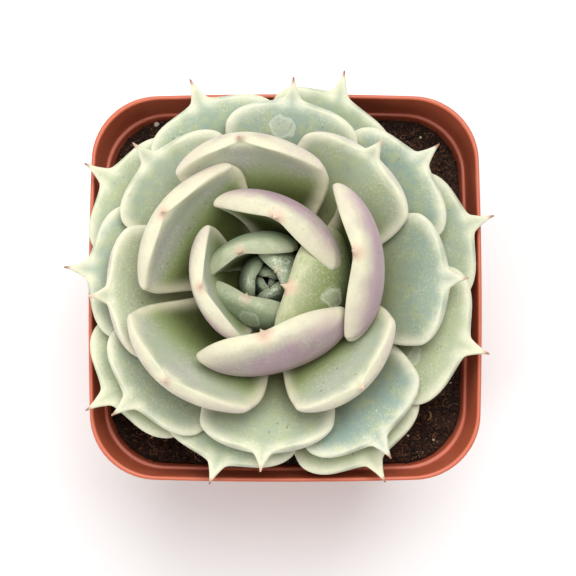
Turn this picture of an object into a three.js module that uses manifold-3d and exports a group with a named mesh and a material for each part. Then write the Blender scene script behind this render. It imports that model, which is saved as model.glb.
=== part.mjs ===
// A rosette succulent growing in a square plastic nursery pot.
// Millimetres, +Z up. The origin is the middle of the pot's flat underside, which stands on a shelf.
// Pieces: the pot, the soil in it, the short leaning stem, and one mesh for each fleshy leaf.

import * as THREE from 'three';
import { mergeVertices } from 'three/addons/utils/BufferGeometryUtils.js';
import Module from 'manifold-3d';

const wasm = await Module();
wasm.setup();

const radians = THREE.MathUtils.degToRad;
const mix = THREE.MathUtils.lerp;

// Clearance kept between pieces that touch
const GAP = 0.3;

// Pot: a collar band on a tapered body, with a ledge inside where they meet
const POT_HEIGHT = 62;
const RIM_WIDTH = 70;
const RIM_DEPTH = 69.2;
const COLLAR_LOW_WIDTH = 68;
const COLLAR_HEIGHT = 9.6;
const BODY_TOP_WIDTH = 67;
const BASE_WIDTH = 50;
const COLLAR_INNER_WIDTH = 68.6;
const LEDGE_OUTER_WIDTH = 66.4;
const LEDGE_INNER_WIDTH = 65.2;
const LEDGE_DEPTH = 9;
const FLOOR_THICKNESS = 1.2;
const FLOOR_INNER_WIDTH = 48.4;
const CORNER_RADIUS = 12;
const SIDE_BOW = 0.35;

// Drain holes: one round hole at the middle of each side, one slot across each corner of the floor
const DRAIN_RADIUS = 2.2;
const DRAIN_FROM_MIDDLE = 15;
const SLOT_LENGTH = 8;
const SLOT_WIDTH = 3;
const SLOT_FROM_MIDDLE = 21;
const HOLE_DEPTH = 4 * FLOOR_THICKNESS;

// How far a cutting shape runs past the face it cuts
const CUT_PAST = 1;

// Soil
const SOIL_BELOW_RIM = 10.5;
const MOUND_RADIUS = 17;
const MOUND_HEIGHT = 1.8;
const MOUND_SINK = 0.05;

// Stem: radii at heights from the rim plane, from the root stub to the growing tip
const STEM_PROFILE = [
  [0, -20],
  [1.6, -19],
  [2.6, -15],
  [4.2, -10.5],
  [5.4, -7],
  [5.4, -2],
  [4.6, 2],
  [3.2, 5],
  [1.4, 7.2],
  [0, 8],
];

// The stem's axis leans to -X as it rises
const AXIS_LOW = new THREE.Vector3(-1.4, 0.2, 0);
const AXIS_LEAN_X = -0.13;
const AXIS_LEAN_Y = -0.02;
const AXIS_STRAIGHT_ABOVE = 18;

// Leaves are numbered from the youngest at the growing tip to the oldest over the rim.
// Each leaf stands one turn of the growth spiral from the one before.
const LEAF_COUNT = 36;
const SPIRAL_START = 129;
const SPIRAL_STEP = -136.9;

// Grown stages that the leaves pass through. Heights are from the rim plane and angles in degrees.
//   foot: height at the stem          reach, tip: distance and height of the leaf's end
//   lift, curl: rise of the midrib at the foot and at the end, over 90 when it closes on the bud
//   width: half width                 cup: how far the blade is dished, in radians at the margin
//   swell: length of the midrib's handles, larger for a fuller back
//   flesh: greatest thickness         spur: size of the spur, 1 for a full-grown one
const STAGE_VALUES = [
  'leaf', 'foot', 'reach', 'tip', 'lift', 'curl', 'width', 'cup', 'swell', 'flesh', 'spur',
];
const STAGES = [
  [1, 7.6, 0.3, 12, 60, 95, 1.2, 0.5, 0.4, 1.4, 0.4],
  [3, 7.6, 0.9, 13.8, 50, 115, 2.3, 0.7, 0.5, 1.8, 0.3],
  [5, 7, 1.8, 15.6, 40, 118, 4.0, 0.8, 0.55, 2.2, 0.3],
  [6, 7.5, 2.2, 17.5, 32, 125, 6.5, 0.75, 0.6, 2.8, 0.3],
  [7, 7, 2.9, 19, 28, 130, 8.8, 0.7, 0.67, 3.0, 0.3],
  [9, 6, 3, 21.5, 18, 145, 12.5, 0.6, 0.92, 3.6, 0.3],
  [12, 5, 8, 25, 25, 122, 13.7, 0.52, 0.7, 4.4, 0.25],
  [13, 5, 20.5, 23, 28, 80, 13.5, 0.5, 0.48, 4.4, 0.3],
  [17, 3.5, 25, 20, 20, 62, 13, 0.4, 0.42, 4.2, 0.4],
  [18, 3, 30.5, 14.5, 12, 38, 11.8, 0.35, 0.38, 3.8, 0.9],
  [23, 0.5, 35.5, 10.5, 8, 26, 11.8, 0.25, 0.36, 3.6, 1.0],
  [27, -1.5, 38.2, 8, 6, 18, 12, 0.2, 0.35, 3.5, 1.0],
  [31, -3.6, 39.5, 5.4, 4, 16, 12.2, 0.15, 0.35, 3.4, 1.0],
  [35, -5.8, 40, 3.4, 3, 15, 12.2, 0.12, 0.35, 3.3, 1.0],
  [36, -6.5, 35, 0.5, 2, 14, 12, 0.12, 0.35, 3.2, 1.0],
].map((row) => Object.fromEntries(STAGE_VALUES.map((name, i) => [name, row[i]])));

// Leaves that stray from the spiral or from their stage, each set by hand.
// veer turns a leaf about the stem, in degrees, and bend carries its end sideways, in millimetres.
// The other values stand in for the stage's.
const STRAYS = {
  6: { veer: 9 },
  7: { bend: -1.8 },
  8: { veer: -6, bend: 2.4, reach: 5.3, tip: 20.5, curl: 110, swell: 0.47, width: 8.6, cup: 0.8 },
  9: { veer: 5 },
  10: {
    veer: -4, bend: -1.5, reach: 10.4, tip: 24, curl: 86,
    swell: 0.36, width: 11, cup: 0.75, flesh: 3.4,
  },
  11: { veer: -2, bend: 3.2, reach: 9.5, curl: 120, swell: 0.53, width: 12.8, cup: 0.8 },
  12: { veer: 2, bend: -3 },
  13: { veer: -4, bend: 0.5, width: 13.5, reach: 20.2 },
  14: { veer: -8, reach: 15, tip: 25.5, curl: 113, swell: 0.68, width: 14.3, bend: 3.2, cup: 0.7 },
  15: { veer: -4, width: 13.4, bend: -2.2, reach: 23.8, cup: 0.42 },
  16: { veer: -6, reach: 24, tip: 23, width: 13.2, curl: 80, bend: 3, cup: 0.6 },
  17: { veer: -9, width: 11.6 },
  19: { veer: 3 },
  20: { veer: -3 },
  22: { veer: 4 },
  25: { veer: -2 },
  26: { veer: 6, reach: 36 },
  27: { veer: 7 },
  28: { veer: -3, reach: 36.5 },
  29: { veer: -7 },
  30: { veer: 0, reach: 39.8, width: 12.8 },
  31: { veer: 9 },
  32: { veer: -3, bend: 4.5 },
  33: { veer: 8 },
  34: { veer: -7 },
  35: { reach: 40.6 },
  36: { veer: -10 },
};

// Leaf blade: shares of the length, half widths as shares of the widest, and thicknesses as shares
// of the flesh
const FOOT_FROM_AXIS = 1.2;
const FOOT_SHARE = 0.36;
const FOOT_ROUNDING = 1.8;
const WIDEST_AT = 0.7;
const SHOULDER_END = 0.985;
const SPUR_LENGTH = 0.105;
const SHOULDER_SQUARENESS = 2.5;
const SPUR_SHARE = 0.65;
const SPUR_TAPER = 1.56;
const SPUR_TIP = 0.012;
const SPUR_FLESH = 0.3;
const SPUR_ROUNDNESS = 1.6;
const FOOT_FLESH = 0.62;
const FLESH_SPREAD = 1.15;
const MARGIN_SQUARENESS = 4.5;
const EDGE_BLUNTNESS = 3.4;
const UPPER_PART = 0.35;
const UNEVENNESS = 0.05;
const UNEVEN_STEP = 2.3;
const JOIN_SHARPNESS = 4;
const ROW_CROWDING = 1.6;

// How finely the round shapes are faceted
const CORNER_STEPS = 4;
const SLOT_END_STEPS = 3;
const HOLE_SIDES = 12;
const MOUND_SIDES = 20;
const MOUND_ROWS = 8;
const STEM_SIDES = 16;
const LEAF_SIDES = 10;
const LEAF_ROWS = 13;

const plastic = new THREE.MeshStandardMaterial({ color: 0xc4694f, roughness: 0.45, metalness: 0 });
const peat = new THREE.MeshStandardMaterial({ color: 0x2a1c14, roughness: 1, metalness: 0 });
const bark = new THREE.MeshStandardMaterial({ color: 0x8a8258, roughness: 0.8, metalness: 0 });
const leafSkin = new THREE.MeshStandardMaterial({ color: 0xa9bfa6, roughness: 0.6, metalness: 0 });

// ---- Solids ----

function solidOf(geometry) {
  const bare = geometry.clone();
  bare.deleteAttribute('normal');
  bare.deleteAttribute('uv');
  const merged = mergeVertices(bare);
  return new wasm.Manifold(new wasm.Mesh({
    numProp: 3,
    vertProperties: new Float32Array(merged.attributes.position.array),
    triVerts: new Uint32Array(merged.index.array),
  }));
}

function geometryOf(solid) {
  const mesh = solid.getMesh();
  const geometry = new THREE.BufferGeometry();
  geometry.setAttribute('position', new THREE.BufferAttribute(mesh.vertProperties, 3));
  geometry.setIndex(new THREE.BufferAttribute(mesh.triVerts, 1));
  geometry.computeVertexNormals();
  return geometry;
}

function moveVertices(geometry, place) {
  const position = geometry.attributes.position;
  const point = new THREE.Vector3();
  for (let i = 0; i < position.count; i += 1) {
    point.fromBufferAttribute(position, i);
    place(point, i);
    position.setXYZ(i, point.x, point.y, point.z);
  }
  return geometry;
}

function addMesh(group, name, solid, material) {
  const mesh = new THREE.Mesh(geometryOf(solid), material.clone());
  mesh.name = name;
  group.add(mesh);
}

// ---- Pot and soil ----

// The plan of the pot at its rim: slightly bowed sides between round corners
function potPlan() {
  const side = RIM_WIDTH / 2 - SIDE_BOW;
  const corner = side - CORNER_RADIUS;
  const bow = RIM_WIDTH / 2 + SIDE_BOW;
  const plan = new THREE.Shape();
  plan.moveTo(side, -corner);
  plan.quadraticCurveTo(bow, 0, side, corner);
  plan.absarc(corner, corner, CORNER_RADIUS, 0, Math.PI / 2);
  plan.quadraticCurveTo(0, bow, -corner, side);
  plan.absarc(-corner, corner, CORNER_RADIUS, Math.PI / 2, Math.PI);
  plan.quadraticCurveTo(-bow, 0, -side, -corner);
  plan.absarc(-corner, -corner, CORNER_RADIUS, Math.PI, 1.5 * Math.PI);
  plan.quadraticCurveTo(0, -bow, corner, -side);
  plan.absarc(corner, -corner, CORNER_RADIUS, 1.5 * Math.PI, 2 * Math.PI);
  return plan;
}

// A block with the pot's plan that widens evenly between two heights
function taperedBlock(low, lowWidth, high, highWidth) {
  const block = new THREE.ExtrudeGeometry(potPlan(), {
    depth: high - low,
    steps: 1,
    curveSegments: CORNER_STEPS,
    bevelEnabled: false,
  });
  moveVertices(block, (point) => {
    const width = mix(lowWidth, highWidth, point.z / (high - low));
    point.x *= width / RIM_WIDTH;
    point.y *= width / RIM_WIDTH * RIM_DEPTH / RIM_WIDTH;
    point.z += low;
  });
  return solidOf(block);
}

// The inside width of the pot's body at a height above its underside
function innerWidth(height) {
  const ledge = POT_HEIGHT - LEDGE_DEPTH;
  const share = (height - FLOOR_THICKNESS) / (ledge - FLOOR_THICKNESS);
  return mix(FLOOR_INNER_WIDTH, LEDGE_INNER_WIDTH, share);
}

function drainHole(turn) {
  const hole = new THREE.CylinderGeometry(DRAIN_RADIUS, DRAIN_RADIUS, HOLE_DEPTH, HOLE_SIDES);
  hole.rotateX(Math.PI / 2);
  hole.translate(DRAIN_FROM_MIDDLE, 0, 0);
  hole.rotateZ(turn);
  return solidOf(hole);
}

function drainSlot(turn) {
  const outline = new THREE.Shape();
  const reach = (SLOT_LENGTH - SLOT_WIDTH) / 2;
  outline.absarc(0, reach, SLOT_WIDTH / 2, 0, Math.PI);
  outline.absarc(0, -reach, SLOT_WIDTH / 2, Math.PI, 2 * Math.PI);
  const slot = new THREE.ExtrudeGeometry(outline, {
    depth: HOLE_DEPTH,
    curveSegments: SLOT_END_STEPS,
    bevelEnabled: false,
  });
  slot.translate(SLOT_FROM_MIDDLE, 0, -HOLE_DEPTH / 2);
  slot.rotateZ(turn);
  return solidOf(slot);
}

function makePot() {
  const collarLow = POT_HEIGHT - COLLAR_HEIGHT;
  const ledge = POT_HEIGHT - LEDGE_DEPTH;
  const innerFlare = (COLLAR_INNER_WIDTH - LEDGE_OUTER_WIDTH) / LEDGE_DEPTH;
  const collar = taperedBlock(collarLow, COLLAR_LOW_WIDTH, POT_HEIGHT, RIM_WIDTH);
  const body = taperedBlock(0, BASE_WIDTH, collarLow + CUT_PAST, BODY_TOP_WIDTH);
  const collarHollow = taperedBlock(
    ledge,
    LEDGE_OUTER_WIDTH,
    POT_HEIGHT + CUT_PAST,
    COLLAR_INNER_WIDTH + CUT_PAST * innerFlare,
  );
  const bodyHollow = taperedBlock(
    FLOOR_THICKNESS,
    FLOOR_INNER_WIDTH,
    ledge + CUT_PAST,
    innerWidth(ledge + CUT_PAST),
  );
  let pot = collar.add(body).subtract(collarHollow).subtract(bodyHollow);
  for (let quarter = 0; quarter < 4; quarter += 1) {
    const turn = quarter * Math.PI / 2;
    pot = pot.subtract(drainHole(turn));
    pot = pot.subtract(drainSlot(turn + Math.PI / 4));
  }
  return pot;
}

function makeSoil(stemSocket) {
  const low = FLOOR_THICKNESS + GAP;
  const top = POT_HEIGHT - SOIL_BELOW_RIM;
  const block = taperedBlock(low, innerWidth(low) - 2 * GAP, top, innerWidth(top) - 2 * GAP);
  const mound = new THREE.SphereGeometry(MOUND_RADIUS, MOUND_SIDES, MOUND_ROWS);
  mound.rotateX(Math.PI / 2);
  mound.scale(1, 1, MOUND_HEIGHT / MOUND_RADIUS);
  mound.translate(AXIS_LOW.x, AXIS_LOW.y, top - MOUND_SINK);
  return block.add(solidOf(mound)).subtract(stemSocket);
}

// ---- Stem ----

// The middle of the leaning rosette at a height from the rim plane
function axisAt(height) {
  const rise = THREE.MathUtils.clamp(height, -AXIS_STRAIGHT_ABOVE, AXIS_STRAIGHT_ABOVE);
  return new THREE.Vector2(AXIS_LOW.x + AXIS_LEAN_X * rise, AXIS_LOW.y + AXIS_LEAN_Y * rise);
}

// The stem, or its socket when it is swollen by the clearance
function makeStem(swell) {
  const profile = STEM_PROFILE.map(([radius, height], i) => {
    const end = i === 0 ? -swell : i === STEM_PROFILE.length - 1 ? swell : 0;
    return new THREE.Vector2(radius === 0 ? 0 : radius + swell, height + end);
  });
  const stem = new THREE.LatheGeometry(profile, STEM_SIDES);
  stem.rotateX(Math.PI / 2);
  moveVertices(stem, (point) => {
    const axis = axisAt(point.z);
    point.x += axis.x;
    point.y += axis.y;
    point.z += POT_HEIGHT;
  });
  return solidOf(stem);
}

// ---- Leaves ----

// The stage values of one leaf, between the two listed stages on either side of it
function leafPlan(leaf) {
  const after = Math.max(1, STAGES.findIndex((stage) => stage.leaf >= leaf));
  const young = STAGES[after - 1];
  const old = STAGES[after];
  const share = (leaf - young.leaf) / (old.leaf - young.leaf);
  const plan = {};
  for (const key of Object.keys(young)) {
    plan[key] = mix(young[key], old[key], share);
  }
  const stray = STRAYS[leaf] ?? {};
  const veer = stray.veer ?? 0;
  Object.assign(plan, stray);
  plan.bearing = radians(SPIRAL_START + SPIRAL_STEP * leaf + veer);
  plan.bend = stray.bend ?? 0;
  plan.skew = UNEVENNESS * Math.sin(UNEVEN_STEP * leaf);
  return plan;
}

// The midrib in its upright plane: x is the distance from the axis, y the height from the rim plane
function midribOf(plan) {
  const foot = new THREE.Vector2(FOOT_FROM_AXIS, plan.foot);
  const end = new THREE.Vector2(plan.reach, plan.tip);
  const handle = plan.swell * foot.distanceTo(end);
  const lift = radians(plan.lift);
  const curl = radians(plan.curl);
  return new THREE.CubicBezierCurve(
    foot,
    new THREE.Vector2(foot.x + handle * Math.cos(lift), foot.y + handle * Math.sin(lift)),
    new THREE.Vector2(end.x - handle * Math.cos(curl), end.y - handle * Math.sin(curl)),
    end,
  );
}

// The larger of two sizes, rounded over where they are alike
function joined(one, other) {
  return (one ** JOIN_SHARPNESS + other ** JOIN_SHARPNESS) ** (1 / JOIN_SHARPNESS);
}

// Falls from 1 at the widest place to 0 at the shoulders' end, the blunter the squarer
function shoulderAt(along, spur, squareness) {
  const end = SHOULDER_END - SPUR_LENGTH * spur;
  const past = THREE.MathUtils.clamp((along - WIDEST_AT) / (end - WIDEST_AT), 0, 1);
  return (1 - past ** squareness) ** (1 / squareness);
}

// Half width at a share of the length: narrow foot, broad round shoulders, then a fine spur
function halfWidth(along, spur) {
  if (along < WIDEST_AT) {
    return mix(FOOT_SHARE, 1, Math.sin(0.5 * Math.PI * along / WIDEST_AT) ** FOOT_ROUNDING);
  }
  const taper = ((1 - along) / (1 - WIDEST_AT) / spur) ** SPUR_TAPER;
  const point = Math.min(1, spur * (SPUR_TIP + SPUR_SHARE * taper));
  const shoulder = shoulderAt(along, spur, SHOULDER_SQUARENESS);
  return Math.min(1, joined(shoulder, point));
}

// Plumpest at the middle of the blade and blunt at the shoulders, with a round spur
function thicknessAt(along, plan) {
  const plump = mix(FOOT_FLESH, 1, Math.sin(Math.PI * along / FLESH_SPREAD));
  const body = plan.flesh * plump * shoulderAt(along, plan.spur, MARGIN_SQUARENESS);
  const needle = SPUR_ROUNDNESS * plan.width * halfWidth(along, plan.spur);
  return joined(body, Math.min(SPUR_FLESH * plan.flesh, needle));
}

// One leaf as a sphere drawn out along the midrib; swell thickens and widens it by the clearance
function makeLeaf(plan, swell) {
  const rib = midribOf(plan);
  const out = new THREE.Vector2(Math.cos(plan.bearing), Math.sin(plan.bearing));
  const blade = new THREE.SphereGeometry(1, LEAF_SIDES, LEAF_ROWS);
  const uv = blade.attributes.uv;
  moveVertices(blade, (point, i) => {
    const along = 1 - uv.getY(i) ** ROW_CROWDING;
    const ends = uv.getY(i) === 0 || uv.getY(i) === 1 ? 0 : 1;
    const round = 2 * Math.PI * uv.getX(i);
    const across = Math.cos(round);
    const bulge = Math.sqrt(Math.max(0, 1 - Math.abs(across) ** EDGE_BLUNTNESS));
    const rise = -Math.sign(Math.sin(round)) * bulge;
    const width = ends * (plan.width * halfWidth(along, plan.spur) + swell);
    const part = rise > 0 ? UPPER_PART : 1 - UPPER_PART;
    const thick = ends * rise * (part * thicknessAt(along, plan) + swell);
    const at = rib.getPoint(along);
    const heading = rib.getTangent(along);
    const dish = plan.cup * across;
    const side = width * (Math.sin(dish) / plan.cup + plan.skew * Math.sin(Math.PI * along));
    const raise = width * (1 - Math.cos(dish)) / plan.cup + thick * Math.cos(dish);
    const sideways = side - thick * Math.sin(dish) + plan.bend * along ** 2;
    const distance = at.x - heading.y * raise;
    const height = at.y + heading.x * raise;
    const axis = axisAt(height);
    point.x = axis.x + out.x * distance - out.y * sideways;
    point.y = axis.y + out.y * distance + out.x * sideways;
    point.z = POT_HEIGHT + height;
  });
  return solidOf(blade);
}

// ---- Assembly ----

const plant = new THREE.Group();
plant.name = 'potted_succulent';

const stem = makeStem(0);
const stemSocket = makeStem(GAP);
addMesh(plant, 'pot', makePot(), plastic);
addMesh(plant, 'soil', makeSoil(stemSocket), peat);
addMesh(plant, 'stem', stem, bark);

// A younger leaf lies on the older ones and dents them, so each leaf is cut by the younger before it.
// A tightly curled leaf folds inwards when swollen, so the plain and half swollen ones cut too.
const younger = [];
for (let leaf = 1; leaf <= LEAF_COUNT; leaf += 1) {
  const plan = leafPlan(leaf);
  let blade = makeLeaf(plan, 0).subtract(stemSocket);
  for (const above of younger) {
    blade = blade.subtract(above);
  }
  younger.push(makeLeaf(plan, GAP).add(makeLeaf(plan, GAP / 2)).add(makeLeaf(plan, 0)));
  addMesh(plant, `leaf_${String(leaf).padStart(2, '0')}`, blade, leafSkin);
}

export default plant;
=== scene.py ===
# A rosette succulent growing in a square plastic nursery pot.
# It is put together as it would be potted: the pot, the soil, the stem, then every leaf from the
# growing tip outwards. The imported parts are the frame, and every size here is in metres.
import math
import random

import bmesh
import bpy
from mathutils import Euler, Matrix, Vector, noise


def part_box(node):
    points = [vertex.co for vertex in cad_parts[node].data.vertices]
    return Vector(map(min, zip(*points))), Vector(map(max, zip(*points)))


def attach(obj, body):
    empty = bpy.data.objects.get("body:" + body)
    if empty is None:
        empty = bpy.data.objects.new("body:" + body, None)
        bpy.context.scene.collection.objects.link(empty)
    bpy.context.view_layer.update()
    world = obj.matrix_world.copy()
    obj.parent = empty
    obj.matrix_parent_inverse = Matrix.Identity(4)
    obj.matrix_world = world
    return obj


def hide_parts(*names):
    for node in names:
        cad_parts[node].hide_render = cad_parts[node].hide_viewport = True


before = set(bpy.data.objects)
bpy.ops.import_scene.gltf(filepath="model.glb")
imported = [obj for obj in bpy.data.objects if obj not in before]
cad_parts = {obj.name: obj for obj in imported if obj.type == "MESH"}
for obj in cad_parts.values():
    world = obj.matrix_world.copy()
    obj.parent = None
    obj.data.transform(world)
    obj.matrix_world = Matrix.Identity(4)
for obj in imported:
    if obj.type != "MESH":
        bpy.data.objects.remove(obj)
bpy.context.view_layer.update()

MM = 0.001

# ---- Camera ----
# It hangs about 35 cm above the rim and looks down on the rosette, tipped a few degrees to the
# front, so that the back wall of the pot shows more of its inside than the front wall does.
pot_low, pot_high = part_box("pot")
RIM_HEIGHT = pot_high.z
VIEW_DISTANCE = 350 * MM
VIEW_TILT = math.radians(4)
WIDTH_SHOWN_AT_RIM = 102.4 * MM
SENSOR_MM = 36

lens = bpy.data.cameras.new("camera")
lens.sensor_width = SENSOR_MM
lens.lens = SENSOR_MM * VIEW_DISTANCE / WIDTH_SHOWN_AT_RIM
lens.clip_start = 0.01
lens.clip_end = 10
camera = bpy.data.objects.new("camera", lens)
bpy.context.collection.objects.link(camera)
aim = Vector((0.5 * MM, -0.25 * MM, RIM_HEIGHT))
camera.location = aim + VIEW_DISTANCE * Vector((0, -math.sin(VIEW_TILT), math.cos(VIEW_TILT)))
camera.rotation_euler = (VIEW_TILT, 0, 0)
bpy.context.scene.camera = camera

# ---- Light ----
# A white room gives most of the light. One broad panel behind the pot and one weaker panel to the
# left give the leaves their soft modelling without any hard shadow.
ROOM_STRENGTH = 0.44

room = bpy.data.worlds.new("white_room")
room.use_nodes = True
room.node_tree.nodes["Background"].inputs["Color"].default_value = (1, 1, 1, 1)
room.node_tree.nodes["Background"].inputs["Strength"].default_value = ROOM_STRENGTH
bpy.context.scene.world = room
bpy.context.scene.view_settings.view_transform = "Standard"


def hang_panel(name, place, size, power):
    panel = bpy.data.lights.new(name, "AREA")
    panel.shape = "SQUARE"
    panel.size = size
    panel.energy = power
    holder = bpy.data.objects.new(name, panel)
    holder.location = place
    toward_pot = Vector((0, 0, RIM_HEIGHT)) - holder.location
    holder.rotation_euler = toward_pot.to_track_quat("-Z", "Y").to_euler()
    bpy.context.collection.objects.link(holder)


hang_panel("back_panel", Vector((0.08, 0.32, 0.9)), 0.6, 8.0)
hang_panel("left_panel", Vector((-0.55, -0.15, 0.6)), 0.4, 2.1)

# ---- Floor ----
# A plain near-white sheet of matt card, far wider than the pot, lying just under its base.
FLOOR_SIZE = 3.0
FLOOR_DROP = 0.05 * MM


class Tone:
    """A socket that takes part in sums: each operator adds a Math node to its paint."""

    def __init__(self, paint, socket):
        self.paint = paint
        self.socket = socket

    def maths(self, operation, *others, clamp=False):
        settings = {"operation": operation, "use_clamp": clamp}
        return self.paint.add("ShaderNodeMath", settings, dict(enumerate((self, *others))))

    def __add__(self, other):
        return self.maths("ADD", other)

    def __sub__(self, other):
        return self.maths("SUBTRACT", other)

    def __rsub__(self, other):
        return self.paint.add("ShaderNodeMath", {"operation": "SUBTRACT"}, {0: other, 1: self})

    def __mul__(self, other):
        return self.maths("MULTIPLY", other)

    def __pow__(self, other):
        return self.maths("POWER", other)

    __radd__ = __add__
    __rmul__ = __mul__

    def clamped(self):
        return self.maths("ADD", 0.0, clamp=True)

    def ramp(self, low, high):
        """0 below low, 1 above high and a smooth rise between; low may be the larger."""
        settings = {"interpolation_type": "SMOOTHSTEP", "clamp": True}
        sockets = {"Value": self, "From Min": low, "From Max": high}
        return self.paint.add("ShaderNodeMapRange", settings, sockets)


class Paint:
    """A procedural material: one method adds its nodes, and the rest are short names for it."""

    def __init__(self, name):
        self.material = bpy.data.materials.new(name)
        self.material.use_nodes = True
        self.tree = self.material.node_tree
        self.skin = self.tree.nodes["Principled BSDF"]
        place = self.add("ShaderNodeTexCoord", out="Object")
        self.place = self.add("ShaderNodeVectorMath", {"operation": "SCALE"}, {0: place, "Scale": 1 / MM})

    def add(self, kind, settings=None, sockets=None, out=0):
        node = self.tree.nodes.new(kind)
        for name, value in (settings or {}).items():
            setattr(node, name, value)
        for name, value in (sockets or {}).items():
            self.plug(node.inputs[name], value)
        return Tone(self, node.outputs[out])

    def plug(self, socket, value):
        if isinstance(value, Tone):
            self.tree.links.new(value.socket, socket)
        else:
            socket.default_value = value

    def attribute(self, name):
        return self.add("ShaderNodeAttribute", {"attribute_name": name}, out="Fac")

    def grain(self, per_mm, detail=2.0, roughness=0.5, stretch=None):
        """Noise from 0 to 1 with about per_mm lumps in each millimetre."""
        place = self.place
        if stretch:
            place = self.add("ShaderNodeVectorMath", {"operation": "MULTIPLY"}, {0: place, 1: stretch})
        sockets = {"Vector": place, "Scale": per_mm, "Detail": detail, "Roughness": roughness}
        return self.add("ShaderNodeTexNoise", None, sockets, out="Fac")

    def blend(self, amount, first, second):
        settings = {"data_type": "RGBA", "clamp_factor": True}
        return self.add("ShaderNodeMix", settings, {0: amount, 6: first, 7: second}, out=2)

    def bump(self, height, depth, strength=1.0):
        return self.add("ShaderNodeBump", None, {"Height": height, "Distance": depth, "Strength": strength})

    def finish(self, colour, roughness, normal=None, **constants):
        self.plug(self.skin.inputs["Base Color"], colour)
        self.plug(self.skin.inputs["Roughness"], roughness)
        if normal:
            self.plug(self.skin.inputs["Normal"], normal)
        for name, value in constants.items():
            self.skin.inputs[name.replace("_", " ").title().replace("Ior", "IOR")].default_value = value
        return self.material


def colour(red, green, blue):
    """A colour for a socket, from the 0 to 255 values of a paint chart."""
    def linear(value):
        share = value / 255
        return share / 12.92 if share <= 0.04045 else ((share + 0.055) / 1.055) ** 2.4

    return (linear(red), linear(green), linear(blue), 1.0)


def card_paint():
    paint = Paint("white_card")
    mottle = paint.grain(0.02, detail=3.0)
    shade = paint.blend(mottle, colour(246, 246, 246), colour(250, 250, 249))
    return paint.finish(shade, 0.9)


def show(name, shape, material):
    """Turns a bmesh into a smooth-shaded object at the origin."""
    mesh = bpy.data.meshes.new(name)
    shape.to_mesh(mesh)
    shape.free()
    mesh.shade_smooth()
    mesh.materials.append(material)
    made = bpy.data.objects.new(name, mesh)
    bpy.context.collection.objects.link(made)
    return made


sheet = bmesh.new()
bmesh.ops.create_grid(sheet, x_segments=4, y_segments=4, size=FLOOR_SIZE / 2)
bmesh.ops.translate(sheet, verts=sheet.verts[:], vec=(0, 0, pot_low.z - FLOOR_DROP))
show("floor", sheet, card_paint())

# ---- Pot ----
# A thin injection-moulded nursery pot in terracotta-coloured polypropylene. A taper lets it leave
# the mould, a stepped collar stiffens the rim, and holes are punched in the floor for drainage.
HALF_WIDTH = (pot_high.x - pot_low.x) / 2
DEPTH_SHARE = (pot_high.y - pot_low.y) / (pot_high.x - pot_low.x)
CORNER_SHARE = 12 / 35
SIDE_BOW_SHARE = 0.35 / 35
LEDGE_HEIGHT = RIM_HEIGHT - 9 * MM
FLOOR_TOP = 1.2 * MM
LIP_RADIUS = 0.33 * MM
DRAIN_RADIUS = 2.2 * MM
DRAIN_FROM_MIDDLE = 15 * MM
SLOT_LENGTH = 8 * MM
SLOT_WIDTH = 3 * MM
SLOT_FROM_MIDDLE = 21 * MM

# The wall from the middle of the underside, up the outside, over the lip and down the inside:
# half width, height, radius of the corner there
POT_WALL = [
    (22 * MM, 0, 0),
    (25 * MM, 0, 0.9 * MM),
    (33.4 * MM, 52.4 * MM, 0.25 * MM),
    (34 * MM, 52.4 * MM, 0.25 * MM),
    (HALF_WIDTH, RIM_HEIGHT, LIP_RADIUS),
    (HALF_WIDTH - 0.72 * MM, RIM_HEIGHT, LIP_RADIUS),
    (33.2 * MM, LEDGE_HEIGHT, 0.2 * MM),
    (32.6 * MM, LEDGE_HEIGHT, 0.25 * MM),
    (24.2 * MM, FLOOR_TOP, 1.2 * MM),
    (20 * MM, FLOOR_TOP, 0),
]


def soften(wall, steps=4):
    """Rounds the corners of a wall: each becomes a short curve that leaves and meets it smoothly."""
    line = []
    for index, (width, height, radius) in enumerate(wall):
        corner = Vector((width, height))
        if radius == 0:
            line.append(corner)
            continue
        before = Vector(wall[index - 1][:2])
        after = Vector(wall[index + 1][:2])
        start = corner + (before - corner).normalized() * radius
        end = corner + (after - corner).normalized() * radius
        for step in range(steps + 1):
            share = step / steps
            line.append(start.lerp(corner, share).lerp(corner.lerp(end, share), share))
    return line


def raise_wall(line, side_cuts, corner_steps):
    """Carries the pot's plan, a square with round corners and bowed sides, along a wall."""
    shape = bmesh.new()
    bmesh.ops.create_grid(shape, x_segments=1, y_segments=1, size=1)
    bmesh.ops.bevel(shape, geom=shape.verts[:], offset=CORNER_SHARE, segments=corner_steps,
                    profile=0.5, affect="VERTICES", material=-1)
    sides = [edge for edge in shape.edges if edge.calc_length() > 1]
    bmesh.ops.subdivide_edges(shape, edges=sides, cuts=side_cuts)
    flat = 1 - CORNER_SHARE
    for vert in shape.verts:
        vert.co.x *= 1 - SIDE_BOW_SHARE * min(1, (vert.co.y / flat) ** 2)
        vert.co.y *= 1 - SIDE_BOW_SHARE * min(1, (vert.co.x / flat) ** 2)
        vert.co.y *= DEPTH_SHARE
    width, height = line[0]
    bmesh.ops.scale(shape, verts=shape.verts[:], vec=(width, width, 1))
    bmesh.ops.translate(shape, verts=shape.verts[:], vec=(0, 0, height))
    edges = shape.edges[:]
    for next_width, next_height in line[1:]:
        made = bmesh.ops.extrude_edge_only(shape, edges=edges)["geom"]
        verts = [item for item in made if isinstance(item, bmesh.types.BMVert)]
        edges = [item for item in made if isinstance(item, bmesh.types.BMEdge)]
        share = next_width / width
        bmesh.ops.scale(shape, verts=verts, vec=(share, share, 1))
        bmesh.ops.translate(shape, verts=verts, vec=(0, 0, next_height - height))
        width, height = next_width, next_height
    bmesh.ops.contextual_create(shape, geom=edges)
    bmesh.ops.recalc_face_normals(shape, faces=shape.faces[:])
    return shape


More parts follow.
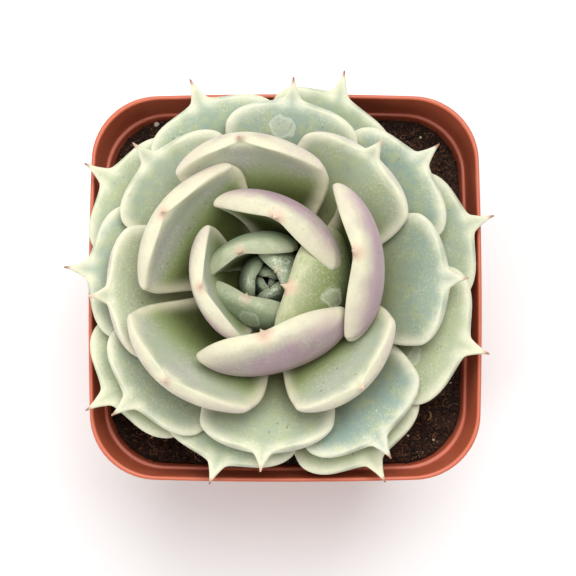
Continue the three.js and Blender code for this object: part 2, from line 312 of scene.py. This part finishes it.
def settle(piece):
    """Applies a piece's modifiers to its mesh."""
    shown = piece.evaluated_get(bpy.context.evaluated_depsgraph_get())
    piece.data = bpy.data.meshes.new_from_object(shown)
    piece.modifiers.clear()


def punch_drains(pot):
    """Cuts a round hole at the middle of each side of the floor and a slot across each corner."""
    punch = bmesh.new()
    for quarter in range(4):
        turn = Matrix.Rotation(quarter * math.pi / 2, 4, "Z")
        hole = turn @ Matrix.Translation((DRAIN_FROM_MIDDLE, 0, 0))
        bmesh.ops.create_cone(punch, cap_ends=True, segments=32, radius1=DRAIN_RADIUS,
                              radius2=DRAIN_RADIUS, depth=4 * FLOOR_TOP, matrix=hole)
        slot = Matrix.Rotation(math.pi / 4, 4, "Z") @ turn @ Matrix.Translation((SLOT_FROM_MIDDLE, 0, 0))
        half = Matrix.Diagonal((SLOT_WIDTH, SLOT_LENGTH, 4 * FLOOR_TOP, 1))
        block = bmesh.ops.create_cube(punch, size=1, matrix=slot @ half)["verts"]
        uprights = [edge for edge in punch.edges
                    if edge.verts[0] in block and edge.verts[1] in block
                    and abs(edge.verts[0].co.z - edge.verts[1].co.z) > FLOOR_TOP]
        bmesh.ops.bevel(punch, geom=uprights, offset=0.49 * SLOT_WIDTH, segments=6,
                        profile=0.5, affect="EDGES", material=-1)
    cutter = show("drain_punch", punch, pot.data.materials[0])
    cut = pot.modifiers.new("drains", "BOOLEAN")
    cut.operation = "DIFFERENCE"
    cut.solver = "EXACT"
    cut.object = cutter
    settle(pot)
    bpy.data.objects.remove(cutter)


def pot_paint():
    paint = Paint("terracotta_plastic")
    cloud = paint.grain(0.05, detail=4.0)
    flow = paint.grain(0.35, detail=3.0, stretch=(1.0, 1.0, 0.08))
    fine = paint.grain(6.0, detail=2.0)
    scuff = paint.grain(0.9, detail=5.0, roughness=0.7, stretch=(1.0, 1.0, 3.0)).ramp(0.62, 0.78)
    dust = paint.grain(0.22, detail=6.0, roughness=0.65).ramp(0.5, 0.72)
    warm = paint.blend(cloud * 0.7 + flow * 0.3, colour(188, 90, 62), colour(202, 106, 76))
    dusted = paint.blend(dust * 0.08 + scuff * 0.1, warm, colour(222, 178, 158))
    speck = paint.grain(2.2, detail=1.0).ramp(0.72, 0.78)
    shade = paint.blend(speck * 0.35, dusted, colour(120, 52, 36))
    relief = paint.bump(fine * 0.5 + flow * 0.5 + scuff * 0.3, 0.05 * MM, 0.6)
    roughness = 0.34 + dust * 0.22 + scuff * 0.12 + fine * 0.08
    return paint.finish(shade, roughness, relief, specular_ior_level=0.45)


pot = show("nursery_pot", raise_wall(soften(POT_WALL), side_cuts=12, corner_steps=14), pot_paint())
punch_drains(pot)
pot.data.shade_smooth()
pot.data.set_sharp_from_angle(angle=math.radians(40))
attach(pot, "root")
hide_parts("pot")

# ---- Soil ----
# Dark peat that fills the pot to a centimetre below the rim: one crumbly block, loose crumbs on
# it, fine brown fibres, a few cream grains of pumice and some slivers of straw.
soil_low, soil_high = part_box("soil")
SOIL_TOP = RIM_HEIGHT - 10.5 * MM
SOIL_TOP_HALF = (soil_high.x - soil_low.x) / 2
SOIL_LOW_HALF = 23.9 * MM
SOIL_RING_STEP = 0.55 * MM
LUMP_HEIGHT = 1.2 * MM
CRUMB_COUNT = 6000
FIBRE_COUNT = 2000
PUMICE_COUNT = 60
STRAW_COUNT = 30
LUMPS_IN_A_BATCH = 100
STRAND_POINTS = 4
SOIL_SEED = 11


def soil_relief(x, y):
    """Height of the soil's lumpy surface above its level, at a place."""
    coarse = noise.fractal(Vector((x, y, 0)) / (7 * MM), 1.0, 2.0, 3)
    lumps = noise.fractal(Vector((x, y, 3 * MM)) / (1.6 * MM), 0.8, 2.0, 3)
    return LUMP_HEIGHT * (0.7 * coarse + 0.55 * lumps)


def soil_paint(name, dark, brown, pale, pale_share):
    paint = Paint(name)
    damp = paint.grain(0.3, detail=5.0, roughness=0.6)
    crumb = paint.grain(2.5, detail=4.0, roughness=0.7)
    fleck = paint.grain(3.4, detail=3.0, roughness=0.7).ramp(0.62, 0.69)
    earth = paint.blend((damp * 0.5 + crumb * 0.9 - 0.2).ramp(0.3, 0.7), dark, brown)
    shade = paint.blend(fleck * pale_share, earth, pale)
    return paint.finish(shade, 0.85 + crumb * 0.15, paint.bump(crumb, 0.3 * MM), specular_ior_level=0.3)


peat_paint = soil_paint("peat", colour(16, 10, 8), colour(64, 40, 28),
                        colour(196, 152, 112), 0.8)
fibre_paint = soil_paint("peat_fibre", colour(100, 64, 42), colour(176, 130, 92),
                         colour(216, 182, 142), 0.6)
pumice_paint = soil_paint("pumice", colour(190, 176, 150), colour(226, 216, 196),
                          colour(240, 234, 220), 0.5)
straw_paint = soil_paint("straw", colour(150, 118, 74), colour(188, 156, 108),
                         colour(214, 190, 146), 0.6)


def ground(piece):
    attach(piece, "root")
    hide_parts("soil")


soil_wall = [Vector((SOIL_LOW_HALF, soil_low.z)), Vector((SOIL_TOP_HALF, SOIL_TOP))]
ring_half = SOIL_TOP_HALF - SOIL_RING_STEP
while ring_half > SOIL_RING_STEP:
    soil_wall.append(Vector((ring_half, SOIL_TOP)))
    ring_half -= SOIL_RING_STEP
block = raise_wall(soil_wall, side_cuts=44, corner_steps=18)
for vert in block.verts:
    if vert.co.z > SOIL_TOP - 1 * MM:
        vert.co.z += soil_relief(vert.co.x, vert.co.y)
ground(show("peat_block", block, peat_paint))

soil_dice = random.Random(SOIL_SEED)
noise.seed_set(SOIL_SEED)


def spot_on_soil(margin):
    """A random place on the soil, kept off the pot's wall and out of its round corners."""
    reach = SOIL_TOP_HALF - margin
    corner = reach * (1 - CORNER_SHARE)
    while True:
        x = soil_dice.uniform(-reach, reach)
        y = soil_dice.uniform(-reach, reach) * DEPTH_SHARE
        past = Vector((max(0, abs(x) - corner), max(0, abs(y) - corner)))
        if past.length < reach - corner:
            return Vector((x, y, SOIL_TOP + soil_relief(x, y)))


def tumble():
    return Euler([soil_dice.uniform(0, math.tau) for _ in range(3)]).to_matrix().to_4x4()


def scatter_lumps(name, count, smallest, largest, detail, material):
    """Loose angular lumps, each a squashed ball turned at random and half sunk in the soil."""
    heap = bmesh.new()
    for first in range(0, count, LUMPS_IN_A_BATCH):
        handful = bmesh.new()
        for _ in range(min(LUMPS_IN_A_BATCH, count - first)):
            size = smallest * (largest / smallest) ** (soil_dice.random() ** 1.8)
            squash = [soil_dice.uniform(0.55, 1.0) * size for _ in range(3)]
            spot = spot_on_soil(size) + Vector((0, 0, size * 0.2))
            place = Matrix.Translation(spot) @ tumble() @ Matrix.Diagonal((*squash, 1))
            bmesh.ops.create_icosphere(handful, subdivisions=detail, radius=1, matrix=place)
        batch = bpy.data.meshes.new("handful")
        handful.to_mesh(batch)
        handful.free()
        heap.from_mesh(batch)
        bpy.data.meshes.remove(batch)
    for vert in heap.verts:
        vert.co += noise.noise_vector(vert.co / (0.5 * MM)) * 0.12 * MM
    ground(show(name, heap, material))


def lay_strands(name, count, thinnest, thickest, shortest, longest, material):
    """Strands that lie on the soil, each a short bent curve with its ends lifted a little."""
    line = bpy.data.curves.new(name, "CURVE")
    line.dimensions = "3D"
    line.bevel_depth = 1.0
    line.bevel_resolution = 0
    line.resolution_u = 2
    line.use_fill_caps = True
    for _ in range(count):
        spot = spot_on_soil(longest / 2)
        heading = soil_dice.uniform(0, math.tau)
        length = soil_dice.uniform(shortest, longest)
        thickness = soil_dice.uniform(thinnest, thickest)
        strand = line.splines.new("NURBS")
        strand.points.add(STRAND_POINTS - 1)
        strand.order_u = 3
        strand.use_endpoint_u = True
        bend = soil_dice.uniform(-0.9, 0.9)
        for step, point in enumerate(strand.points):
            from_middle = step - (STRAND_POINTS - 1) / 2
            angle = heading + bend * from_middle
            offset = length * from_middle / (STRAND_POINTS - 1)
            x = spot.x + offset * math.cos(angle)
            y = spot.y + offset * math.sin(angle)
            lift = soil_dice.uniform(0.1, 0.7) * MM
            point.co = (x, y, SOIL_TOP + soil_relief(x, y) + lift, 1)
            point.radius = thickness
    strands = bpy.data.objects.new(name, line)
    bpy.context.collection.objects.link(strands)
    drawn = bpy.data.meshes.new_from_object(strands.evaluated_get(bpy.context.evaluated_depsgraph_get()))
    bpy.data.objects.remove(strands)
    shape = bmesh.new()
    shape.from_mesh(drawn)
    ground(show(name, shape, material))


scatter_lumps("peat_crumbs", CRUMB_COUNT, 0.16 * MM, 0.85 * MM, 1, peat_paint)
scatter_lumps("pumice_grains", PUMICE_COUNT, 0.22 * MM, 0.65 * MM, 2, pumice_paint)
lay_strands("peat_fibres", FIBRE_COUNT, 0.025 * MM, 0.06 * MM, 0.6 * MM, 2.6 * MM, fibre_paint)
lay_strands("straw_slivers", STRAW_COUNT, 0.10 * MM, 0.17 * MM, 1.6 * MM, 4.0 * MM, straw_paint)

# ---- Stem ----
# A short olive-brown stem, rooted in the soil and leaning to the left as it rises. Old leaf scars
# ring it, and the leaves hide all but its foot.

# Radii at heights above the rim, in millimetres, from the root stub to the growing tip
STEM_WALL = [
    (0, -20),
    (1.6, -19),
    (2.6, -15),
    (4.2, -10.5),
    (5.4, -7),
    (5.4, -2),
    (4.6, 2),
    (3.2, 5),
    (1.4, 7.2),
    (0, 8),
]

# The axis of stem and rosette, which leans as it rises
AXIS_X = -1.4 * MM
AXIS_Y = 0.2 * MM
LEAN_X = -0.13
LEAN_Y = -0.02
LEAN_LIMIT = 18 * MM


def axis_at(height):
    """Middle of the leaning rosette at a height above the rim."""
    rise = max(-LEAN_LIMIT, min(LEAN_LIMIT, height))
    return Vector((AXIS_X + LEAN_X * rise, AXIS_Y + LEAN_Y * rise, 0))


def stem_paint():
    paint = Paint("stem_bark")
    rings = paint.grain(0.5, detail=4.0, stretch=(0.4, 0.4, 3.0))
    mottle = paint.grain(1.2, detail=5.0, roughness=0.7)
    shade = paint.blend(rings * 0.6 + mottle * 0.4, colour(96, 92, 52), colour(156, 146, 104))
    return paint.finish(shade, 0.7 + mottle * 0.2, paint.bump(rings + mottle * 0.5, 0.4 * MM))


stalk = bmesh.new()
column = [stalk.verts.new((radius * MM, 0, height * MM)) for radius, height in STEM_WALL]
spine = [stalk.edges.new(pair) for pair in zip(column, column[1:])]
bmesh.ops.subdivide_edges(stalk, edges=spine, cuts=4)
bmesh.ops.spin(stalk, geom=stalk.verts[:] + stalk.edges[:], axis=(0, 0, 1), cent=(0, 0, 0),
               angle=math.tau, steps=40, use_merge=True)
bmesh.ops.remove_doubles(stalk, verts=stalk.verts[:], dist=0.01 * MM)
bmesh.ops.recalc_face_normals(stalk, faces=stalk.faces[:])
for vert in stalk.verts:
    scar = noise.noise(vert.co / (2.2 * MM)) * 0.25 * MM
    outward = Vector((vert.co.x, vert.co.y, 0))
    if outward.length > 0.5 * MM:
        vert.co += outward.normalized() * scar
    vert.co += axis_at(vert.co.z)
    vert.co.z += RIM_HEIGHT
stem = show("stem_stalk", stalk, stem_paint())
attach(stem, "root")
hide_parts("stem")

# ---- Leaves ----
# Fleshy leaves full of water, each grown one turn of the spiral after the last. The youngest close
# over the bud and show their lilac backs; older ones open, flatten and end in a sharp brown spur.
LEAF_COUNT = 36
SPIRAL_START = 129
SPIRAL_STEP = -136.9

# Grown stages that the leaves pass through, in millimetres and degrees, with heights above the rim:
# foot height, reach and height of the end, rise at the foot and at the end, half width, dish in
# radians at the margin, and the fullness of the back
STAGE_VALUES = ("foot", "reach", "tip", "lift", "curl", "width", "cup", "swell", "flesh", "spur")
STAGES = {
    1: (7.6, 0.3, 12, 60, 95, 1.2, 0.5, 0.4, 1.4, 0.4),
    3: (7.6, 0.9, 13.8, 50, 115, 2.3, 0.7, 0.5, 1.8, 0.3),
    5: (7, 1.8, 15.6, 40, 118, 4.0, 0.8, 0.55, 2.2, 0.3),
    6: (7.5, 2.2, 17.5, 32, 125, 6.5, 0.75, 0.6, 2.8, 0.3),
    7: (7, 2.9, 19, 28, 130, 8.8, 0.7, 0.67, 3.0, 0.3),
    9: (6, 3, 21.5, 18, 145, 12.5, 0.6, 0.92, 3.6, 0.3),
    12: (5, 8, 25, 25, 122, 13.7, 0.52, 0.7, 4.4, 0.25),
    13: (5, 20.5, 23, 28, 80, 13.5, 0.5, 0.48, 4.4, 0.3),
    17: (3.5, 25, 20, 20, 62, 13, 0.4, 0.42, 4.2, 0.4),
    18: (3, 30.5, 14.5, 12, 38, 11.8, 0.35, 0.38, 3.8, 0.9),
    23: (0.5, 35.5, 10.5, 8, 26, 11.8, 0.25, 0.36, 3.6, 1.0),
    27: (-1.5, 38.2, 8, 6, 18, 12, 0.2, 0.35, 3.5, 1.0),
    31: (-3.6, 39.5, 5.4, 4, 16, 12.2, 0.15, 0.35, 3.4, 1.0),
    35: (-5.8, 40, 3.4, 3, 15, 12.2, 0.12, 0.35, 3.3, 1.0),
    36: (-6.5, 35, 0.5, 2, 14, 12, 0.12, 0.35, 3.2, 1.0),
}

# Leaves that stray: veer turns one about the stem, bend carries its end sideways, and the rest
# stand in for the stage's values
STRAYS = {
    6: {"veer": 9},
    7: {"bend": -1.8},
    8: {"veer": -6, "bend": 2.4, "reach": 5.3, "tip": 20.5, "curl": 110, "swell": 0.47, "width": 8.6,
        "cup": 0.8},
    9: {"veer": 5},
    10: {"veer": -4, "bend": -1.5, "reach": 10.4, "tip": 24, "curl": 86, "swell": 0.36, "width": 11,
         "cup": 0.75, "flesh": 3.4},
    11: {"veer": -2, "bend": 3.2, "reach": 9.5, "curl": 120, "swell": 0.53, "width": 12.8, "cup": 0.8},
    12: {"veer": 2, "bend": -3},
    13: {"veer": -4, "bend": 0.5, "width": 13.5, "reach": 20.2},
    14: {"veer": -8, "reach": 15, "tip": 25.5, "curl": 113, "swell": 0.68, "width": 14.3, "bend": 3.2,
         "cup": 0.7},
    15: {"veer": -4, "width": 13.4, "bend": -2.2, "reach": 23.8, "cup": 0.42},
    16: {"veer": -6, "reach": 24, "tip": 23, "width": 13.2, "curl": 80, "bend": 3, "cup": 0.6},
    17: {"veer": -9, "width": 11.6},
    19: {"veer": 3},
    20: {"veer": -3},
    22: {"veer": 4},
    25: {"veer": -2},
    26: {"veer": 6, "reach": 36},
    27: {"veer": 7},
    28: {"veer": -3, "reach": 36.5},
    29: {"veer": -7},
    30: {"veer": 0, "reach": 39.8, "width": 12.8},
    31: {"veer": 9},
    32: {"veer": -3, "bend": 4.5},
    33: {"veer": 8},
    34: {"veer": -7},
    35: {"reach": 40.6},
    36: {"veer": -10},
}

# Blade: shares of the length, and half widths as shares of the widest
FOOT_FROM_AXIS = 1.2
FOOT_SHARE = 0.36
FOOT_ROUNDING = 1.8
WIDEST_AT = 0.7
SHOULDER_END = 0.985
SPUR_LENGTH = 0.105
SHOULDER_SQUARENESS = 2.5
SPUR_SHARE = 0.65
SPUR_TAPER = 1.56
SPUR_TIP = 0.012
SPUR_FLESH = 0.3
SPUR_ROUNDNESS = 1.6
FOOT_FLESH = 0.62
FLESH_SPREAD = 1.15
MARGIN_SQUARENESS = 4.5
EDGE_BLUNTNESS = 3.4
UPPER_PART = 0.35
UNEVENNESS = 0.05
UNEVEN_STEP = 2.3
JOIN_SHARPNESS = 4
ROW_CROWDING = 1.6
LEAF_SIDES = 28
LEAF_ROWS = 44
OUTLINE_STEPS = 60
CURVE_SLACK = 1.15
NO_MARK = 9


def blend_values(first, second, share):
    return first + (second - first) * share


def leaf_plan(leaf):
    """The values of one leaf, between the two listed stages on either side of it."""
    ages = sorted(STAGES)
    older = next(age for age in ages[1:] if age >= leaf)
    younger = ages[ages.index(older) - 1]
    share = (leaf - younger) / (older - younger)
    pairs = zip(STAGE_VALUES, STAGES[younger], STAGES[older])
    plan = {name: blend_values(young, old, share) for name, young, old in pairs}
    plan.update({"veer": 0, "bend": 0})
    plan.update(STRAYS.get(leaf, {}))
    plan["bearing"] = math.radians(SPIRAL_START + SPIRAL_STEP * leaf + plan["veer"])
    plan["skew"] = UNEVENNESS * math.sin(UNEVEN_STEP * leaf)
    return plan


def joined(one, other):
    """The larger of two sizes, rounded over where they are alike."""
    return (one ** JOIN_SHARPNESS + other ** JOIN_SHARPNESS) ** (1 / JOIN_SHARPNESS)


def shoulder_at(along, spur, squareness):
    """Falls from 1 at the widest place to 0 at the shoulders' end, the blunter the squarer."""
    shoulder_end = SHOULDER_END - SPUR_LENGTH * spur
    past = max(0, min(1, (along - WIDEST_AT) / (shoulder_end - WIDEST_AT)))
    return (1 - past ** squareness) ** (1 / squareness)


def half_width(along, spur):
    """Half width at a share of the length: narrow foot, round shoulders, then a fine spur."""
    if along < WIDEST_AT:
        return blend_values(FOOT_SHARE, 1, math.sin(0.5 * math.pi * along / WIDEST_AT) ** FOOT_ROUNDING)
    taper = ((1 - along) / (1 - WIDEST_AT) / spur) ** SPUR_TAPER
    point = min(1, spur * (SPUR_TIP + SPUR_SHARE * taper))
    return min(1, joined(shoulder_at(along, spur, SHOULDER_SQUARENESS), point))


def thickness(along, plan):
    """Plumpest at the middle of the blade and blunt at the shoulders; the spur is round."""
    body = plan["flesh"] * (FOOT_FLESH + (1 - FOOT_FLESH) * math.sin(math.pi * along / FLESH_SPREAD))
    body *= shoulder_at(along, plan["spur"], MARGIN_SQUARENESS)
    needle = SPUR_ROUNDNESS * plan["width"] * half_width(along, plan["spur"])
    return joined(body, min(SPUR_FLESH * plan["flesh"], needle))


def grow_leaf(leaf, mark):
    """One leaf: a ball drawn out along the midrib, flattened, dished and given its spur."""
    plan = leaf_plan(leaf)
    foot = Vector((FOOT_FROM_AXIS, plan["foot"]))
    end = Vector((plan["reach"], plan["tip"]))
    handle = plan["swell"] * (end - foot).length
    lift = math.radians(plan["lift"])
    curl = math.radians(plan["curl"])
    knots = (foot, foot + handle * Vector((math.cos(lift), math.sin(lift))),
             end - handle * Vector((math.cos(curl), math.sin(curl))), end)
    out = Vector((math.cos(plan["bearing"]), math.sin(plan["bearing"]), 0))
    left = Vector((-out.y, out.x, 0))
    length = CURVE_SLACK * (end - foot).length
    steps = [step / OUTLINE_STEPS for step in range(OUTLINE_STEPS + 1)]
    outline = [(length * step, plan["width"] * half_width(step, plan["spur"])) for step in steps]

    ball = bmesh.new()
    bmesh.ops.create_uvsphere(ball, u_segments=LEAF_SIDES, v_segments=LEAF_ROWS, radius=1)
    layers = {name: ball.verts.layers.float.new(name) for name in ("along", "face", "rim", "spur", "mark")}
    for vert in ball.verts:
        row = 1 - math.acos(max(-1, min(1, vert.co.z))) / math.pi
        pole = 0 if row < 0.001 or row > 0.999 else 1
        around = math.atan2(vert.co.y, vert.co.x)
        along = 1 - (1 - row) ** ROW_CROWDING
        across = math.cos(around)
        rise = math.copysign(math.sqrt(max(0, 1 - abs(across) ** EDGE_BLUNTNESS)), math.sin(around))
        width = pole * plan["width"] * half_width(along, plan["spur"])
        part = UPPER_PART if rise > 0 else 1 - UPPER_PART
        thick = pole * rise * part * thickness(along, plan)
        a, b, c, d = knots
        t = along
        at = a * (1 - t) ** 3 + 3 * b * t * (1 - t) ** 2 + 3 * c * t * t * (1 - t) + d * t ** 3
        heading = ((b - a) * (1 - t) ** 2 + 2 * (c - b) * t * (1 - t) + (d - c) * t * t).normalized()
        dish = plan["cup"] * across
        raised = width * (1 - math.cos(dish)) / plan["cup"] + thick * math.cos(dish)
        sideways = width * (math.sin(dish) / plan["cup"] + plan["skew"] * math.sin(math.pi * along))
        sideways += plan["bend"] * along ** 2 - thick * math.sin(dish)
        distance = at.x - heading.y * raised
        height = (at.y + heading.x * raised) * MM
        place = out * distance + left * sideways
        vert.co = axis_at(height) + place * MM + Vector((0, 0, height + RIM_HEIGHT))
        flat = Vector((along * length, abs(across) * width))
        vert[layers["along"]] = along
        vert[layers["face"]] = 0.5 + 0.5 * rise
        vert[layers["rim"]] = min((flat - Vector(point)).length for point in outline) / plan["width"]
        vert[layers["spur"]] = (flat - Vector((length, 0))).length / plan["width"]
        from_mark = Vector(((along - mark[0]) * length, across * width - mark[1] * plan["width"]))
        vert[layers["mark"]] = from_mark.length / plan["width"] / mark[2] if mark[2] else NO_MARK
    bmesh.ops.recalc_face_normals(ball, faces=ball.faces[:])
    return ball


def leaf_paint():
    """Waxy sage skin with painted olive shade towards the foot, cream at the margin, lilac behind, brown
    spur.
    """
    paint = Paint("leaf_skin")
    along = paint.attribute("along")
    face = paint.attribute("face")
    rim = paint.attribute("rim")
    spur = paint.attribute("spur")
    age = paint.attribute("age")
    tint = paint.attribute("tint")
    mark = paint.attribute("mark")
    cloud = paint.grain(0.11, detail=3.0)
    mottle = paint.grain(0.5, detail=5.0, roughness=0.65)
    speck = paint.grain(2.4, detail=3.0, roughness=0.7)
    wax = paint.grain(6.0, detail=2.0)
    deep = 1 - along

    yellowing = (cloud * 1.2 + tint * 1.2 - 0.1).clamped()
    sage = paint.blend(yellowing, colour(138, 160, 148), colour(170, 178, 144))
    old = paint.blend(mottle.ramp(0.42, 0.68) * 0.6, sage, colour(174, 182, 132))
    # Painted shade: older leaves darken to olive towards the foot, where younger leaves overlap them.
    old = paint.blend(deep.ramp(0.18, 0.5) * 0.9, old, colour(110, 114, 70))
    young = paint.blend(mottle, colour(164, 178, 156), colour(184, 188, 158))
    young = paint.blend(cloud.ramp(0.46, 0.62) * 0.4, young, colour(184, 174, 176))
    # Painted shade: young leaves darken through olive to near black towards the foot, deep in the rosette.
    young = paint.blend(deep.ramp(0.16, 0.42), young, colour(128, 142, 86))
    young = paint.blend(deep.ramp(0.32, 0.56), young, colour(64, 72, 18))
    upper = paint.blend(age.ramp(0.5, 0.44), old, young)

    lilac = paint.blend(mottle, colour(172, 138, 152), colour(186, 160, 168))
    lilac = paint.blend(cloud.ramp(0.48, 0.64) * 0.45, lilac, colour(176, 178, 150))
    lilac = paint.blend(deep.ramp(0.13, 0.03) * 0.8, lilac, colour(190, 192, 162))
    # Painted shade: the lilac backs darken to brown towards the foot.
    lilac = paint.blend(deep.ramp(0.24, 0.46), lilac, colour(122, 94, 84))
    bud_green = paint.blend(mottle, colour(120, 138, 106), colour(146, 158, 126))
    bud_green = paint.blend(age.ramp(0.2, 0.23) * 0.8, bud_green, colour(140, 150, 90))
    # Painted shade: the green backs of the bud leaves darken to olive towards the foot.
    bud_green = paint.blend(deep.ramp(0.16, 0.46), bud_green, colour(72, 80, 28))
    old_back = paint.blend(mottle, colour(160, 172, 146), colour(182, 186, 166))
    back = paint.blend(age.ramp(0.48, 0.56), lilac, old_back)
    back = paint.blend(age.ramp(0.245, 0.235), back, bud_green)

    skin = paint.blend(face.ramp(0.4, 0.8), back, upper)
    # Painted shade in the bud's hollow: the innermost leaves darken to blackish green, most towards the
    # foot.
    innermost = age.ramp(0.17, 0.06)
    skin = paint.blend(innermost * (0.25 + deep.ramp(0.04, 0.26) * 0.7), skin, colour(44, 56, 32))
    crust = (speck * 0.5 + mottle * 0.5).ramp(0.5, 0.58) * spur.ramp(0.6, 0.15)
    skin = paint.blend(crust * age.ramp(0.2, 0.12) * 0.55, skin, colour(208, 214, 198))
    bloom = speck.ramp(0.5, 0.68) * cloud.ramp(0.35, 0.6) * along.ramp(0.5, 0.8) * 0.4
    skin = paint.blend(bloom + wax.ramp(0.5, 0.7) * 0.05, skin, colour(216, 224, 208))
    grit = paint.grain(1.3, detail=0.0)
    skin = paint.blend(grit.ramp(0.8, 0.84) * 0.5, skin, colour(112, 92, 62))
    ragged = mark + mottle * 0.9 - 0.45
    ring = ragged.ramp(0.72, 0.95) * ragged.ramp(1.12, 0.98)
    skin = paint.blend(ring * 0.38 + ragged.ramp(1.0, 0.7) * 0.22, skin, colour(226, 230, 212))
    edge = rim.ramp(0.3, 0.0)
    margin = edge * edge * age.ramp(0.1, 0.3) * (0.35 + mottle * 0.5) + edge * edge * 0.1
    cream = paint.blend(age.ramp(0.44, 0.5), colour(226, 222, 190), colour(236, 232, 206))
    skin = paint.blend(margin, skin, cream)
    blush = spur.ramp(0.16, 0.05) * (0.5 - age * 0.15) * age.ramp(0.06, 0.25)
    skin = paint.blend(blush, skin, colour(224, 164, 150))
    dried = spur.ramp(0.13, 0.02) * age.ramp(0.45, 0.7) * 0.9
    skin = paint.blend(dried, skin, colour(128, 74, 50))
    relief = paint.bump(speck * 0.5 + wax * 0.3 + mottle * 1.5, 0.1 * MM, 0.7)
    roughness = 0.46 + speck * 0.16
    return paint.finish(skin, roughness, relief, subsurface_weight=0.2, subsurface_scale=1.4 * MM,
                        specular_ior_level=0.4, sheen_weight=0.1, sheen_roughness=0.5)


skin_paint = leaf_paint()
skin_paint.node_tree.nodes["Principled BSDF"].inputs["Subsurface Radius"].default_value = (0.9, 1.0, 0.5)
leaf_dice = random.Random(5)

# Leaves that are bluer than the rest, below 0, or yellower, above it
LEAF_TINTS = {
    13: 0.1,
    18: 0.35,
    19: 0.2,
    22: -0.2,
    25: -0.35,
    26: 0,
    30: 0.45,
    31: 0.35,
    33: 0.5,
    34: 0.3,
}

# Marks where the wax was rubbed or dried in a ring: how far along the leaf and across it in half
# widths, then its size in half widths
WAX_MARKS = {
    7: (0.76, 0.1, 0.18),
    9: (0.7, 0.05, 0.14),
    24: (0.76, 0.15, 0.2),
    30: (0.68, -0.35, 0.14),
    31: (0.75, 0.3, 0.16),
}
for leaf in range(1, LEAF_COUNT + 1):
    blade = grow_leaf(leaf, WAX_MARKS.get(leaf, (0.8, 0, 0)))
    age = blade.verts.layers.float.new("age")
    tint = blade.verts.layers.float.new("tint")
    tint_here = LEAF_TINTS.get(leaf, leaf_dice.uniform(-0.2, 0.2))
    for vert in blade.verts:
        vert[age] = (leaf - 1) / (LEAF_COUNT - 1)
        vert[tint] = tint_here
    piece = show(f"grown_leaf_{leaf:02d}", blade, skin_paint)
    smooth = piece.modifiers.new("smooth", "SUBSURF")
    smooth.levels = 1
    smooth.render_levels = 1
    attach(piece, "root")
    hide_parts(f"leaf_{leaf:02d}")
